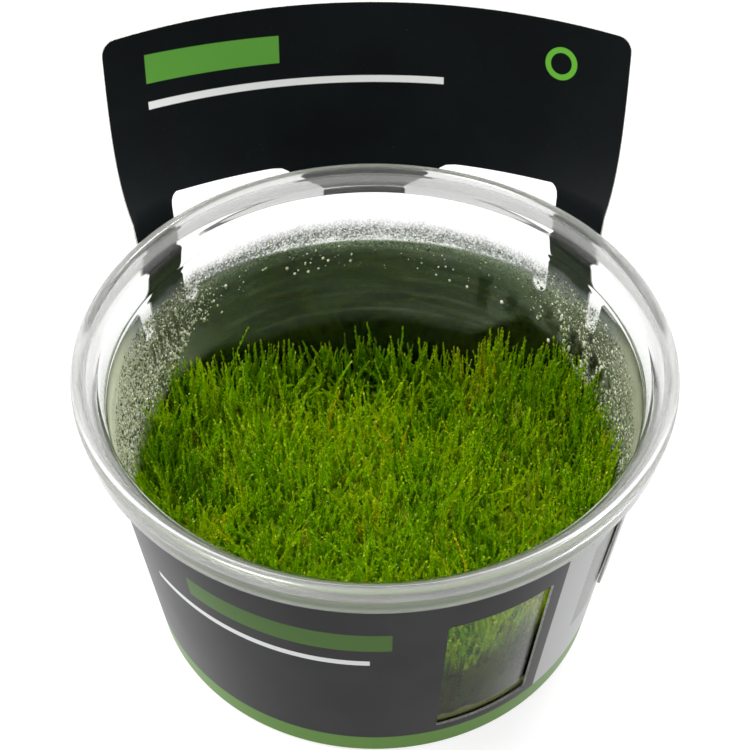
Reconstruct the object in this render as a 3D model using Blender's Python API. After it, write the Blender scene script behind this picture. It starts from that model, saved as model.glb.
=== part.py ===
"""Java moss grown in an open clear plastic cup with a die-cut card sleeve and header.

Metres, +Z up. The origin is the centre of the cup's flat base. The header card
stands at the back, towards +Y, and the sleeve's window is at the front right.
"""
import math
import random

import bmesh
import bpy
from mathutils import Vector, noise
from mathutils.geometry import delaunay_2d_cdt

MM = 0.001

# Clear cup, a thin moulded wall under a hollow rolled rim
CUP_HEIGHT = 57.7 * MM
RIM_RADIUS = 50.5 * MM
RIM_SKIRT = 5.75 * MM
RIM_BEAD = 2.4 * MM
LEDGE_DROP = 3.0 * MM
WALL_BASE_RADIUS = 40.0 * MM
WALL_SLOPE = 0.118
WALL_THICKNESS = 0.6 * MM
FLOOR_THICKNESS = 0.7 * MM
FOOT_ROUND = 2.4 * MM
INNER_FOOT_ROUND = FOOT_ROUND - WALL_THICKNESS
CUP_SEGMENTS = 64

# Card sleeve, header and legs, one die-cut card
CARD_THICKNESS = 0.45 * MM
CLEARANCE = 0.3 * MM
SLEEVE_BOTTOM = 0.7 * MM
SLEEVE_TOP = 48.2 * MM
BEND_HEIGHTS = (41.4, 46.0, 52.0, 56.2, 60.0, 65.0, 71.0, 78.0)
FOLD_HEIGHT = BEND_HEIGHTS[0] * MM
NOTCH_BOTTOM = 41.1 * MM
NOTCH_RADIUS = 1.75 * MM
HEADER_TOP = 87.35 * MM
HEADER_ARCH = 1.9 * MM
HEADER_CORNER = 2.6 * MM
HEADER_LEAN = math.radians(13.0)
HEADER_LEFT = -48.9 * MM
HEADER_RIGHT = 46.7 * MM
HEADER_REACH = 53.0 * MM
CUTOUT_LEFT = -40.0 * MM
CUTOUT_RIGHT = 36.2 * MM
CUTOUT_TOP = 57.3 * MM
CUTOUT_TOP_RISE = 1.8 * MM
CUTOUT_CORNER = 1.8 * MM
CUTOUT_SILL = 42.5 * MM
CUTOUT_SILL_RISE = 1.4 * MM
TONGUE_CENTRE = -1.7 * MM
TONGUE_HALF_TOP = 13.6 * MM
TONGUE_HALF_TIP = 8.2 * MM
TONGUE_TIP = 51.7 * MM
TONGUE_FILLET = 2.2 * MM
WINDOW_FROM = 14.2
WINDOW_TO = 38.3
WINDOW_BOTTOM = 7.2 * MM
WINDOW_TOP = 40.7 * MM
WINDOW_CORNER = 0.7 * MM
INNER_END = 90.0
OUTER_END = 80.0
TAB_END = 62.0
TAB_BOTTOM = 20.0 * MM
TAB_TOP = 46.0 * MM
TAB_CORNER = 1.5 * MM
CARD_STEP = 6.0

# Nutrient gel and moss
GEL_TOP = 6.5 * MM
GEL_SEGMENTS = 40
MOSS_SPACING = 2.05 * MM
MOSS_CANOPY = 25.5 * MM
MOSS_TUFT = 9.0 * MM
MOSS_RING_POINTS = 66
MOSS_SEED = 11


def wall_outer(z):
    """Outer radius of the cup's tapered wall."""
    return WALL_BASE_RADIUS + WALL_SLOPE * z


def wall_inner(z):
    """Inner radius of the cup's tapered wall."""
    return wall_outer(z) - WALL_THICKNESS


def inner_foot():
    """Centre of the rounding between the cup's wall and floor, inside."""
    z = FLOOR_THICKNESS + INNER_FOOT_ROUND
    return (wall_inner(z) - INNER_FOOT_ROUND, z)


def card_radius(z):
    """Radius of the middle of the card where it hugs the wall."""
    return wall_outer(z) + CLEARANCE + CARD_THICKNESS / 2


FOLD_RADIUS = card_radius(FOLD_HEIGHT)


def clear_scene():
    for item in list(bpy.data.objects):
        bpy.data.objects.remove(item, do_unlink=True)


def finish_object(name, bm, colour, roughness, alpha=1.0, transmission=0.0, sharp=35.0):
    """Turn a bmesh into a named object with its own Principled material."""
    mesh = bpy.data.meshes.new(name)
    bmesh.ops.recalc_face_normals(bm, faces=bm.faces)
    bm.to_mesh(mesh)
    bm.free()
    mesh.shade_smooth()
    mesh.set_sharp_from_angle(angle=math.radians(sharp))
    item = bpy.data.objects.new(name, mesh)
    bpy.context.scene.collection.objects.link(item)
    material = bpy.data.materials.new(name)
    material.use_nodes = True
    shader = material.node_tree.nodes["Principled BSDF"]
    shader.inputs["Base Color"].default_value = (*colour, 1.0)
    shader.inputs["Roughness"].default_value = roughness
    shader.inputs["Metallic"].default_value = 0.0
    shader.inputs["Alpha"].default_value = alpha
    shader.inputs["Transmission Weight"].default_value = transmission
    mesh.materials.append(material)
    return item


def arc(centre, radius, start, end, steps):
    """Points along an arc in a plane, angles in degrees."""
    points = []
    for i in range(steps + 1):
        angle = math.radians(start + (end - start) * i / steps)
        points.append((centre[0] + radius * math.cos(angle), centre[1] + radius * math.sin(angle)))
    return points


def turned(profile, segments):
    """Body turned about Z from a profile whose two ends lie on the axis."""
    bm = bmesh.new()
    verts = [bm.verts.new((r, 0.0, z)) for r, z in profile]
    edges = [bm.edges.new(pair) for pair in zip(verts[:-1], verts[1:])]
    bmesh.ops.spin(bm, geom=verts + edges, cent=(0, 0, 0), axis=(0, 0, 1),
                   angle=2 * math.pi, steps=segments, use_merge=True)
    bmesh.ops.remove_doubles(bm, verts=bm.verts, dist=1e-6)
    return bm


def make_cup():
    """Open cup: flat base, tapered wall, lid ledge, rolled bead and hanging skirt."""
    t = WALL_THICKNESS
    bead_z = CUP_HEIGHT - RIM_BEAD / 2
    bead_r = RIM_RADIUS - RIM_BEAD / 2
    skirt_z = CUP_HEIGHT - RIM_SKIRT
    skirt_r = RIM_RADIUS - 0.8 * MM
    ledge_z = CUP_HEIGHT - LEDGE_DROP
    ledge_r = wall_inner(ledge_z)
    foot_z = FOOT_ROUND
    foot_r = wall_outer(foot_z) - FOOT_ROUND
    profile = [(0.0, 0.0)]
    profile += arc((foot_r, foot_z), FOOT_ROUND, -90, 0, 3)
    profile += [
        (wall_outer(ledge_z - 1.4 * MM), ledge_z - 1.4 * MM),
        (ledge_r + 1.1 * MM, ledge_z - 0.3 * MM),
        (bead_r - 0.8 * MM, bead_z - 0.2 * MM),
        (bead_r, bead_z + RIM_BEAD / 2 - t),
        (bead_r + RIM_BEAD / 2 - t, bead_z - 0.3 * MM),
        (skirt_r - t, skirt_z),
        (skirt_r, skirt_z),
        (RIM_RADIUS - 0.15 * MM, bead_z - 1.0 * MM),
    ]
    profile += arc((bead_r, bead_z), RIM_BEAD / 2, 0, 150, 5)
    profile += [
        (ledge_r + 0.45 * MM, ledge_z + 0.5 * MM),
        (ledge_r, ledge_z - 0.5 * MM),
    ]
    profile += arc(inner_foot(), INNER_FOOT_ROUND, 0, -90, 3)
    profile += [(0.0, FLOOR_THICKNESS)]
    bm = turned(profile, CUP_SEGMENTS)
    return finish_object("cup", bm, (0.86, 0.88, 0.87), 0.05, alpha=0.35, transmission=0.9)


def flare(z):
    """Distance of the header's middle line from the cup axis at height z."""
    skirt_z = CUP_HEIGHT - RIM_SKIRT
    skirt_y = RIM_RADIUS - 0.1 * MM
    rim_z = CUP_HEIGHT - 1.5 * MM
    rim_y = RIM_RADIUS + 0.75 * MM
    if z < skirt_z:
        part = (z - FOLD_HEIGHT) / (skirt_z - FOLD_HEIGHT)
        return FOLD_RADIUS + (skirt_y - FOLD_RADIUS) * part
    if z < rim_z:
        return skirt_y + (rim_y - skirt_y) * (z - skirt_z) / (rim_z - skirt_z)
    return rim_y + (z - rim_z) * math.tan(HEADER_LEAN)


def bend(z):
    """Curvature of the card in plan: round at the fold, flatter towards the top."""
    flat, extra, reach = 0.38 / RIM_RADIUS, 0.50 / RIM_RADIUS, 0.2 * RIM_RADIUS
    if z >= CUP_HEIGHT:
        return flat + extra * math.exp((CUP_HEIGHT - z) / reach)
    part = (z - FOLD_HEIGHT) / (CUP_HEIGHT - FOLD_HEIGHT)
    return (1 - part) / FOLD_RADIUS + part * (flat + extra)


def smooth(low, high, value):
    part = min(1.0, max(0.0, (value - low) / (high - low)))
    return part * part * (3 - 2 * part)


def raised(u, z):
    """How far a point of the card belongs to the legs and header, 0 on the sleeve."""
    if z <= FOLD_HEIGHT:
        return 0.0
    if z > SLEEVE_TOP + MM:
        return 1.0
    outside_left = max(HEADER_LEFT - u, u - CUTOUT_LEFT, 0.0)
    outside_right = max(CUTOUT_RIGHT - u, u - HEADER_RIGHT, 0.0)
    return 1.0 - smooth(0.0, 1.4 * MM, min(outside_left, outside_right))


def wrap_card(u, z):
    """Place a point of the flat card, u along the fold line and z up, in space."""
    angle = u / FOLD_RADIUS
    layer = (CARD_THICKNESS + CLEARANCE) * smooth(math.radians(66), math.radians(86), angle)
    radius = card_radius(z) + layer
    on_cup = Vector((radius * math.sin(angle), radius * math.cos(angle), z))
    share = raised(u, z)
    if share == 0.0:
        return on_cup
    k = bend(z)
    in_header = Vector((math.sin(u * k) / k, flare(z) - (1 - math.cos(u * k)) / k, z))
    return on_cup.lerp(in_header, share)


def card_u(front_degrees, outer=False):
    """Place along the card of an angle to the right of the cup's front."""
    degrees = 180 - front_degrees if outer else -180 - front_degrees
    return math.radians(degrees) * FOLD_RADIUS


def rounded(points, radius, steps=3):
    """Round every corner of a closed outline by a quadratic curve of a given reach."""
    result = []
    for i, corner in enumerate(points):
        here = Vector(corner)
        before = Vector(points[i - 1]) - here
        after = Vector(points[(i + 1) % len(points)]) - here
        start = here + before.normalized() * min(radius, before.length / 2)
        end = here + after.normalized() * min(radius, after.length / 2)
        for k in range(steps + 1):
            s = k / steps
            result.append(tuple(start * (1 - s) ** 2 + here * 2 * s * (1 - s) + end * s * s))
    return result


def header_edge(steps):
    """The header's arched top, right to left, between its round corners."""
    half = (HEADER_RIGHT - HEADER_LEFT) / 2
    middle = (HEADER_RIGHT + HEADER_LEFT) / 2
    points = []
    for i in range(steps + 1):
        u = HEADER_RIGHT + (HEADER_LEFT - HEADER_RIGHT) * i / steps
        points.append((u, HEADER_TOP - HEADER_ARCH * ((u - middle) / half) ** 2))
    points[0] = (HEADER_RIGHT - HEADER_CORNER, points[0][1])
    points[-1] = (HEADER_LEFT + HEADER_CORNER, points[-1][1])
    drop = HEADER_TOP - HEADER_ARCH - HEADER_CORNER
    inset = HEADER_CORNER * 0.29
    right = [(HEADER_RIGHT, drop), (HEADER_RIGHT - inset, points[0][1] - inset)]
    left = [(HEADER_LEFT + inset, points[-1][1] - inset), (HEADER_LEFT, drop)]
    return right + points + left


def notch(centre, top, steps=6):
    """A relief notch beside a leg, right to left, straight sides and a round bottom."""
    r = NOTCH_RADIUS
    low = NOTCH_BOTTOM + r
    return [(centre + r, top)] + arc((centre, low), r, 0, -180, steps) + [(centre - r, top)]


def card_outline():
    """Outer edge of the flat card, anticlockwise from its inner end."""
    inner, outer, tab = card_u(INNER_END), card_u(OUTER_END, True), card_u(TAB_END, True)
    corner = TAB_CORNER
    points = [(inner, SLEEVE_BOTTOM), (outer, SLEEVE_BOTTOM), (outer, TAB_BOTTOM)]
    points += [(tab - corner, TAB_BOTTOM), (tab, TAB_BOTTOM + corner)]
    points += [(tab, TAB_TOP - corner), (tab - corner, TAB_TOP)]
    points += [(outer, SLEEVE_TOP)]
    points += notch(HEADER_RIGHT + NOTCH_RADIUS, SLEEVE_TOP)[:-1]
    points += header_edge(16)
    points += notch(HEADER_LEFT - NOTCH_RADIUS, SLEEVE_TOP)[1:]
    points += [(inner, SLEEVE_TOP)]
    return points


def cutout_outline():
    """The opening between the legs, with the tongue hanging into it."""
    half = (CUTOUT_RIGHT - CUTOUT_LEFT) / 2
    middle = (CUTOUT_RIGHT + CUTOUT_LEFT) / 2
    side_top = CUTOUT_TOP + CUTOUT_TOP_RISE * 0.94
    top, fillet = CUTOUT_TOP, TONGUE_FILLET
    points = arc((CUTOUT_LEFT + CUTOUT_CORNER, side_top - CUTOUT_CORNER), CUTOUT_CORNER, 180, 100, 3)
    for u in (CUTOUT_LEFT + 8 * MM, TONGUE_CENTRE - TONGUE_HALF_TOP - fillet * 1.7):
        points += [(u, top + CUTOUT_TOP_RISE * ((u - middle) / half) ** 2)]
    points += [(TONGUE_CENTRE - TONGUE_HALF_TOP - fillet * 0.4, top - fillet * 0.3)]
    points += [(TONGUE_CENTRE - TONGUE_HALF_TOP + fillet * 0.4, top - fillet)]
    points += [(TONGUE_CENTRE - TONGUE_HALF_TIP - 0.4 * MM, TONGUE_TIP + 0.8 * MM)]
    points += [(TONGUE_CENTRE - TONGUE_HALF_TIP + 0.5 * MM, TONGUE_TIP)]
    points += [(2 * TONGUE_CENTRE - u, z) for u, z in reversed(points[5:])]
    u = CUTOUT_RIGHT - 8 * MM
    points += [(u, top + CUTOUT_TOP_RISE * ((u - middle) / half) ** 2)]
    points += arc((CUTOUT_RIGHT - CUTOUT_CORNER, side_top - CUTOUT_CORNER), CUTOUT_CORNER, 80, 0, 3)
    half -= 2 * NOTCH_RADIUS
    sill = [(middle + half * s, CUTOUT_SILL + CUTOUT_SILL_RISE * s * s) for s in (0.6, 0.2, -0.2, -0.6)]
    high = CUTOUT_SILL + CUTOUT_SILL_RISE
    points += notch(CUTOUT_RIGHT - NOTCH_RADIUS, high)[1:]
    points += sill
    points += notch(CUTOUT_LEFT + NOTCH_RADIUS, high)[:-1]
    return points


def window_outline():
    left, right = card_u(WINDOW_FROM), card_u(WINDOW_TO)
    corners = [(left, WINDOW_TOP), (left, WINDOW_BOTTOM), (right, WINDOW_BOTTOM), (right, WINDOW_TOP)]
    return rounded(corners, WINDOW_CORNER)


def flat_card():
    """The die-cut card lying flat, as a bmesh with one layer of faces."""
    curve = bpy.data.curves.new("card_blank", "CURVE")
    curve.dimensions = "2D"
    curve.fill_mode = "BOTH"
    for outline in (card_outline(), cutout_outline(), window_outline()):
        spline = curve.splines.new("POLY")
        spline.points.add(len(outline) - 1)
        for point, (u, z) in zip(spline.points, outline):
            point.co = (u, z, 0.0, 1.0)
        spline.use_cyclic_u = True
    blank = bpy.data.objects.new("card_blank", curve)
    bpy.context.scene.collection.objects.link(blank)
    bpy.context.view_layer.update()
    evaluated = blank.evaluated_get(bpy.context.evaluated_depsgraph_get())
    bm = bmesh.new()
    bm.from_mesh(evaluated.to_mesh())
    evaluated.to_mesh_clear()
    bpy.data.objects.remove(blank, do_unlink=True)
    bmesh.ops.remove_doubles(bm, verts=bm.verts, dist=1e-6)
    return bm


def crease(bm):
    """Cut the flat card along the lines it can bend at, and drop the edges between them."""
    step = math.radians(CARD_STEP) * FOLD_RADIUS
    first = math.ceil(card_u(INNER_END) / step)
    last = math.floor(card_u(TAB_END, True) / step)
    columns = [i * step for i in range(first, last + 1)]
    rows = [height * MM for height in BEND_HEIGHTS]
    for u in columns:
        everything = list(bm.verts) + list(bm.edges) + list(bm.faces)
        bmesh.ops.bisect_plane(bm, geom=everything, dist=1e-6, plane_co=(u, 0, 0), plane_no=(1, 0, 0))
    for z in rows:
        faces = [face for face in bm.faces if abs(face.calc_center_median().x) < HEADER_REACH]
        edges = list({edge for face in faces for edge in face.edges})
        verts = list({vert for face in faces for vert in face.verts})
        bmesh.ops.bisect_plane(bm, geom=verts + edges + faces, dist=1e-6,
                               plane_co=(0, z, 0), plane_no=(0, 1, 0))

    def on_line(edge):
        a, b = edge.verts[0].co, edge.verts[1].co
        upright = any(abs(a.x - u) < 1e-6 and abs(b.x - u) < 1e-6 for u in columns)
        level = any(abs(a.y - z) < 1e-6 and abs(b.y - z) < 1e-6 for z in rows)
        return upright or level

    loose = [edge for edge in bm.edges if len(edge.link_faces) == 2 and not on_line(edge)]
    bmesh.ops.dissolve_edges(bm, edges=loose, use_verts=False)
    bmesh.ops.triangulate(bm, faces=[face for face in bm.faces if len(face.verts) > 4])


def make_card():
    """Sleeve, legs and header bent from the flat card, with its ends lapped at the side."""
    bm = flat_card()
    crease(bm)
    for vert in bm.verts:
        vert.co = wrap_card(vert.co.x, vert.co.y)
    item = finish_object("card_sleeve", bm, (0.035, 0.038, 0.042), 0.42)
    sheet = item.modifiers.new("card_thickness", "SOLIDIFY")
    sheet.thickness = CARD_THICKNESS
    sheet.offset = 0.0
    sheet.use_even_offset = True
    return item


def make_gel():
    """Set nutrient gel that fills the foot of the cup."""
    profile = [(0.0, FLOOR_THICKNESS + CLEARANCE)]
    profile += arc(inner_foot(), INNER_FOOT_ROUND - CLEARANCE, -90, 0, 3)
    profile += [(wall_inner(GEL_TOP) - CLEARANCE, GEL_TOP), (0.0, GEL_TOP)]
    bm = turned(profile, GEL_SEGMENTS)
    return finish_object("nutrient_gel", bm, (0.60, 0.58, 0.40), 0.15, alpha=0.8)


def canopy(x, y):
    """Height of the moss tips: low at the back of the cup, highest along the right wall."""
    back = smooth(6 * MM, 42 * MM, y) * (1 - smooth(10 * MM, 34 * MM, abs(x)))
    edge = smooth(26 * MM, 42 * MM, math.hypot(x, y))
    right = smooth(14 * MM, 40 * MM, x)
    swell = noise.noise(Vector((x, y, 0)) / (13 * MM))
    return MOSS_CANOPY + (5.5 + 3 * right) * MM * edge - 12 * MM * back + 2.2 * MM * swell


def moss_top_points(chooser):
    """Upright tufts on a triangular lattice, one tip with a ring of hollows about it."""
    points = []
    reach = wall_inner(MOSS_CANOPY) - CLEARANCE - MOSS_SPACING * 0.75
    rows = int(reach / (MOSS_SPACING * 0.866)) + 1
    for j in range(-rows, rows + 1):
        for i in range(-2 * rows, 2 * rows + 1):
            x = (i + j * 0.5) * MOSS_SPACING
            y = j * 0.866 * MOSS_SPACING
            if math.hypot(x, y) > reach:
                continue
            tip = (i - j) % 3 == 0
            shift = (0.55 if tip else 0.25) * MM
            x += chooser.uniform(-shift, shift)
            y += chooser.uniform(-shift, shift)
            if tip:
                z = canopy(x, y) + chooser.gauss(0.0, 1.6 * MM)
            else:
                z = canopy(x, y) - MOSS_TUFT + chooser.uniform(-1.3, 1.3) * MM
            points.append((x, y, z))
    return points


def make_moss():
    """The moss as one mat: tufted top, sides pressed to the cup wall, flat underside."""
    chooser = random.Random(MOSS_SEED)
    points = moss_top_points(chooser)
    inner_count = len(points)
    near = wall_inner(MOSS_CANOPY)
    for i in range(MOSS_RING_POINTS):
        angle = 2 * math.pi * i / MOSS_RING_POINTS
        low = MOSS_TUFT * (0.35 if i % 3 == 0 else 0.9)
        z = canopy(near * math.sin(angle), near * math.cos(angle)) - low + chooser.uniform(-0.8, 0.8) * MM
        radius = wall_inner(z) - CLEARANCE
        points.append((radius * math.sin(angle), radius * math.cos(angle), z))
    flat = [Vector((x, y)) for x, y, z in points[:inner_count]]
    flat += [Vector((x, y)).normalized() * near for x, y, z in points[inner_count:]]
    faces = delaunay_2d_cdt(flat, [], [], 0, 1e-7)[2]
    bm = bmesh.new()
    verts = [bm.verts.new(point) for point in points]
    for face in faces:
        bm.faces.new([verts[i] for i in face])
    ring = verts[inner_count:]
    under = GEL_TOP + CLEARANCE
    foot = []
    for vert in ring:
        level = Vector((vert.co.x, vert.co.y, 0.0)).normalized() * (wall_inner(under) - CLEARANCE)
        foot.append(bm.verts.new((level.x, level.y, under)))
    for i in range(MOSS_RING_POINTS):
        j = (i + 1) % MOSS_RING_POINTS
        bm.faces.new((ring[i], ring[j], foot[j]))
        bm.faces.new((ring[i], foot[j], foot[i]))
    centre = bm.verts.new((0.0, 0.0, under))
    for i in range(MOSS_RING_POINTS):
        bm.faces.new((foot[i], foot[(i + 1) % MOSS_RING_POINTS], centre))
    return finish_object("moss", bm, (0.13, 0.26, 0.02), 0.6, sharp=80.0)


clear_scene()
make_cup()
make_card()
make_gel()
make_moss()
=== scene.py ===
"""Upright java moss on gel in a clear cup, in a die-cut card sleeve with a header.

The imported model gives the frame. Metres, +Z up, the front towards -Y.
"""
import math

import bmesh
import bpy
import numpy as np
from mathutils import Matrix, Vector, geometry, noise


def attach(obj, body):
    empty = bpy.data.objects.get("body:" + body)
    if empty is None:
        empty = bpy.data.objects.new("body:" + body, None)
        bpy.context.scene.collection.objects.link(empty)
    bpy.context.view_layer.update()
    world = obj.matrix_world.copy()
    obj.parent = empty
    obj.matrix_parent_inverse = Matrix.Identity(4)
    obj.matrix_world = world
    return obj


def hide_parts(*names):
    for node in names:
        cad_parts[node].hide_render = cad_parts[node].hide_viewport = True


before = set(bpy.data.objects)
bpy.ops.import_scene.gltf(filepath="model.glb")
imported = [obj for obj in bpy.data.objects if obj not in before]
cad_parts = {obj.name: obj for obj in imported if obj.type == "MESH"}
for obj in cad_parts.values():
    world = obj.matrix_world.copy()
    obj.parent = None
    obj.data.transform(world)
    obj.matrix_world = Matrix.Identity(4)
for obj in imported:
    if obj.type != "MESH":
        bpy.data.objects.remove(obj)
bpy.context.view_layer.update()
scene = bpy.context.scene
MM = 0.001

# The camera looks down into the cup from the front, about 45 degrees above the
# table, from so near that the rim spreads and the foot of the cup draws in.
CAMERA_AWAY = 0.19717
CAMERA_HEIGHT = 0.25333
CAMERA_ROUND = math.radians(-0.6)
CAMERA_DOWN = math.radians(44.777)
CAMERA_PITCH = -0.01467
CAMERA_ROLL = 0.0030

camera_data = bpy.data.cameras.new("camera")
camera_data.lens = 80.07
camera_data.sensor_width = 36.0
camera_data.clip_start = 0.01
camera_data.clip_end = 20.0
camera = bpy.data.objects.new("camera", camera_data)
scene.collection.objects.link(camera)
down = CAMERA_DOWN - CAMERA_PITCH
forward = Vector((0.0, math.cos(down), -math.sin(down)))
upward = Vector((0.0, math.sin(down), math.cos(down)))
side = Vector((1.0, 0.0, 0.0))
turn = Matrix.Rotation(CAMERA_ROLL, 3, -forward)
axes = [turn @ side, turn @ upward, -forward]
around_cup = Matrix.Rotation(CAMERA_ROUND, 4, "Z")
camera_place = Matrix.Translation((0.0, -CAMERA_AWAY, CAMERA_HEIGHT))
camera.matrix_world = around_cup @ camera_place @ Matrix(axes).transposed().to_4x4()
scene.camera = camera

# The studio is a white table under an even white tent, a little darker at the
# level of the camera, with two soft lamps above the cup. Gloss and clear plastic
# don't see the table but the light from under it, dim in front, bright behind.
scene.view_settings.view_transform = "Standard"


class Shade:
    """A number or colour in a node tree; sums and products of it are nodes too."""

    def __init__(self, finish, socket):
        self.finish = finish
        self.socket = socket

    def maths(self, operation, *terms):
        return self.finish.node("ShaderNodeMath", {"operation": operation}, dict(enumerate(terms)))

    def __add__(self, other):
        return self.maths("ADD", self, other)

    def __sub__(self, other):
        return self.maths("SUBTRACT", self, other)

    def __rsub__(self, other):
        return self.maths("SUBTRACT", other, self)

    def __mul__(self, other):
        return self.maths("MULTIPLY", self, other)

    def __pow__(self, other):
        return self.maths("POWER", self, other)

    __radd__ = __add__
    __rmul__ = __mul__

    def step(self, low, high):
        """0 below low, 1 above high, smooth between; low may be the larger."""
        settings = {"interpolation_type": "SMOOTHSTEP"}
        values = {"Value": self, "From Min": low, "From Max": high}
        return self.finish.node("ShaderNodeMapRange", settings, values)

    def within(self, low, high, soft):
        """1 between low and high, with edges as wide as soft."""
        return self.step(low - soft, low + soft) * self.step(high + soft, high - soft)

    def ramp(self, *stops):
        """Colours or numbers along this value, each stop (place, colour)."""
        node = self.finish.tree.nodes.new("ShaderNodeValToRGB")
        marks = node.color_ramp.elements
        while len(marks) < len(stops):
            marks.new(0.5)
        for mark, (place, colour) in zip(marks, stops):
            mark.position = place
            mark.color = (*colour, 1.0) if len(colour) == 3 else colour
        self.finish.tree.links.new(self.socket, node.inputs[0])
        return Shade(self.finish, node.outputs[0])


class Finish:
    """A material, or a world, made of nodes."""

    def __init__(self, name, owner=None):
        self.owner = owner or bpy.data.materials.new(name)
        self.owner.use_nodes = True
        self.tree = self.owner.node_tree
        self.tree.nodes.clear()

    def node(self, kind, settings=None, values=None, output=0):
        """A node with its settings and socket values or links; gives one output."""
        node = self.tree.nodes.new(kind)
        for name, value in (settings or {}).items():
            setattr(node, name, value)
        for name, value in (values or {}).items():
            socket = node.inputs[name]
            if isinstance(value, Shade):
                self.tree.links.new(value.socket, socket)
            elif isinstance(value, (tuple, list)) and len(value) == 3 and socket.type == "RGBA":
                socket.default_value = (*value, 1.0)
            else:
                socket.default_value = value
        return Shade(self, node.outputs[output])

    def place(self):
        """Place on the piece in metres, which is the row frame for every piece here."""
        return self.node("ShaderNodeTexCoord", output=3)

    def axis(self, name):
        return self.node("ShaderNodeSeparateXYZ", None, {0: self.place()}, "XYZ".index(name))

    def layer(self, name):
        """A number kept with the points of the mesh."""
        return self.node("ShaderNodeAttribute", {"attribute_name": name}, output=2)

    def noise(self, size, detail=2.0, rough=0.5, stretch=(1, 1, 1)):
        """Soft noise whose patches are about size metres wide."""
        mapping = self.node("ShaderNodeMapping", {"vector_type": "POINT"},
                            {"Vector": self.place(), "Scale": stretch})
        values = {"Vector": mapping, "Scale": 1 / size, "Detail": detail, "Roughness": rough}
        return self.node("ShaderNodeTexNoise", None, values)

    def mix(self, share, first, second):
        """Colour mixed from first towards second."""
        settings = {"data_type": "RGBA", "blend_type": "MIX", "clamp_factor": True}
        return self.node("ShaderNodeMix", settings, {0: share, 6: first, 7: second}, 2)

    def bump(self, height, strength, distance):
        values = {"Height": height, "Strength": strength, "Distance": distance}
        return self.node("ShaderNodeBump", None, values)

    def surface(self, shade):
        output = self.tree.nodes.new("ShaderNodeOutputMaterial")
        self.tree.links.new(shade.socket, output.inputs["Surface"])
        return self.owner

    def principled(self, **values):
        """A Principled surface; underscores in the names stand for spaces."""
        values = {name.replace("_", " "): value for name, value in values.items()}
        return self.node("ShaderNodeBsdfPrincipled", None, values)


TENT_BRIGHT = 0.90
TENT_FRONT = 0.25
TENT_UNDER = 0.22
TENT_UNDER_BACK = 1.25

world = bpy.data.worlds.new("tent")
scene.world = world
tent = Finish("tent", world)
toward = tent.node("ShaderNodeTexCoord", output=0)
front = tent.node("ShaderNodeSeparateXYZ", None, {0: toward}, 1)
height = tent.node("ShaderNodeSeparateXYZ", None, {0: toward}, 2)
dimmed = front.step(0.05, -0.75) * height.step(0.98, 0.75)
strength = TENT_BRIGHT - (TENT_BRIGHT - TENT_FRONT) * dimmed
under = height.step(0.0, -0.02)
below = TENT_UNDER + (TENT_UNDER_BACK - TENT_UNDER) * front.step(-0.25, 0.55)
strength = strength * (1 - under) + below * under
background = tent.node("ShaderNodeBackground", None, {"Color": (1.0, 1.0, 1.0), "Strength": strength})
output = tent.tree.nodes.new("ShaderNodeOutputWorld")
tent.tree.links.new(background.socket, output.inputs[0])

floor_mesh = bpy.data.meshes.new("floor")
floor_mesh.from_pydata([(-3, -3, 0), (3, -3, 0), (3, 3, 0), (-3, 3, 0)], [], [(0, 1, 2, 3)])
floor = bpy.data.objects.new("floor", floor_mesh)
scene.collection.objects.link(floor)
floor.location.z = -0.0002
table = Finish("table")
floor_mesh.materials.append(table.surface(table.principled(
    Base_Color=(0.24, 0.24, 0.24), Roughness=0.8 + 0.1 * table.noise(0.05),
    Emission_Color=(1.0, 1.0, 1.0), Emission_Strength=0.80)))
floor.visible_glossy = False
floor.visible_transmission = False

for name, place, size, power in (("left_lamp", (-0.32, -0.12, 0.88), 0.24, 7.5),
                                 ("right_lamp", (0.36, 0.34, 0.80), 0.20, 4.5)):
    lamp_data = bpy.data.lights.new(name, "AREA")
    lamp_data.shape = "DISK"
    lamp_data.size = size
    lamp_data.energy = power
    lamp = bpy.data.objects.new(name, lamp_data)
    lamp.location = place
    lamp.rotation_euler = (Vector(place) - Vector((0, 0, 0.04))).to_track_quat("Z", "Y").to_euler()
    scene.collection.objects.link(lamp)

# The gel that feeds the moss sets in the foot of the cup. It is clear, a little
# yellow and wet, and it touches the wall all round.
GEL_TOP = 6.5 * MM
GEL_FLOOR = 1.0 * MM
WALL_BASE_RADIUS = 40.0 * MM
WALL_SLOPE = 0.118
WALL_THICKNESS = 0.6 * MM


def wall_outer(z):
    """Outer radius of the cup's tapered wall."""
    return WALL_BASE_RADIUS + WALL_SLOPE * z


def wall_inner(z):
    return wall_outer(z) - WALL_THICKNESS


def arc(centre, radius, start, end, steps):
    """Points along an arc in a plane, angles in degrees."""
    points = []
    for i in range(steps + 1):
        angle = math.radians(start + (end - start) * i / steps)
        points.append((centre[0] + radius * math.cos(angle), centre[1] + radius * math.sin(angle)))
    return points


def piece(name, mesh, material, slot, *nodes):
    """Link a mesh as a piece of the object that stands for the named CAD nodes."""
    item = bpy.data.objects.new(name, mesh)
    scene.collection.objects.link(item)
    mesh.materials.append(material)
    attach(item, "root")
    if nodes:
        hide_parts(*nodes)
    return item


def skinned(name, bm, rings, segments):
    """A smooth closed mesh of faces between rings, the first and last one point each."""
    for low, high in zip(rings[:-1], rings[1:]):
        for i in range(segments):
            j = (i + 1) % segments
            corners = [low[i % len(low)], low[j % len(low)], high[j % len(high)], high[i % len(high)]]
            bm.faces.new(list(dict.fromkeys(corners)))
    bmesh.ops.recalc_face_normals(bm, faces=bm.faces)
    mesh = bpy.data.meshes.new(name)
    bm.to_mesh(mesh)
    bm.free()
    mesh.shade_smooth()
    return mesh


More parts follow.
